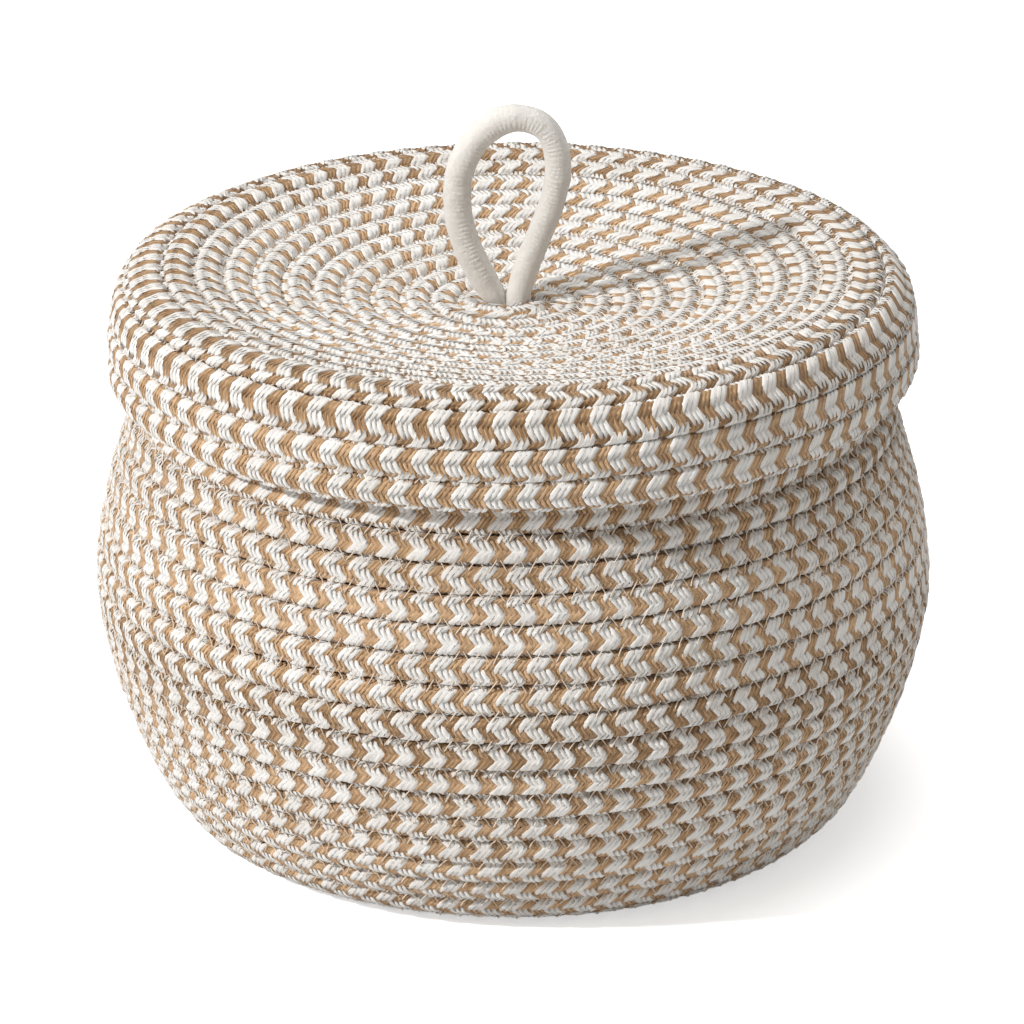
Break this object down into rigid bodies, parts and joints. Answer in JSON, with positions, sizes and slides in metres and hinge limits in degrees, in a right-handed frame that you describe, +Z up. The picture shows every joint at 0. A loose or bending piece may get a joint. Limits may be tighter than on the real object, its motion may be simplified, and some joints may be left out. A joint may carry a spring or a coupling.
{
  "type": "knitting basket",
  "caption": "Round-bellied basket coiled from braided rope, with a lift-off lid of the same rope and a cord loop to lift it by.",
  "frame": {"origin": "on the ground, under the middle of the basket's flat underside", "axes": "+Z up along the basket's axis of roundness; the basket is seen from its -Y side in the picture, with +X to the right"},
  "size_m": [0.2646, 0.2647, 0.2294],
  "materials": {
    "braided_rope": "matte flat braid of off-white and tan yarn",
    "loop_cord": "matte off-white cord"
  },
  "bodies": {
    "basket": {"basket_floor_coil": "braided_rope", "basket_wall_coil": "braided_rope"},
    "lid": {"lid_coil": "braided_rope", "lid_loop": "loop_cord"}
  },
  "joints": [
    {"name": "lid_lift", "type": "slide", "parent": "basket", "child": "lid", "axis": [0, 0, 1], "range_m": [0, 0.15]}
  ]
}
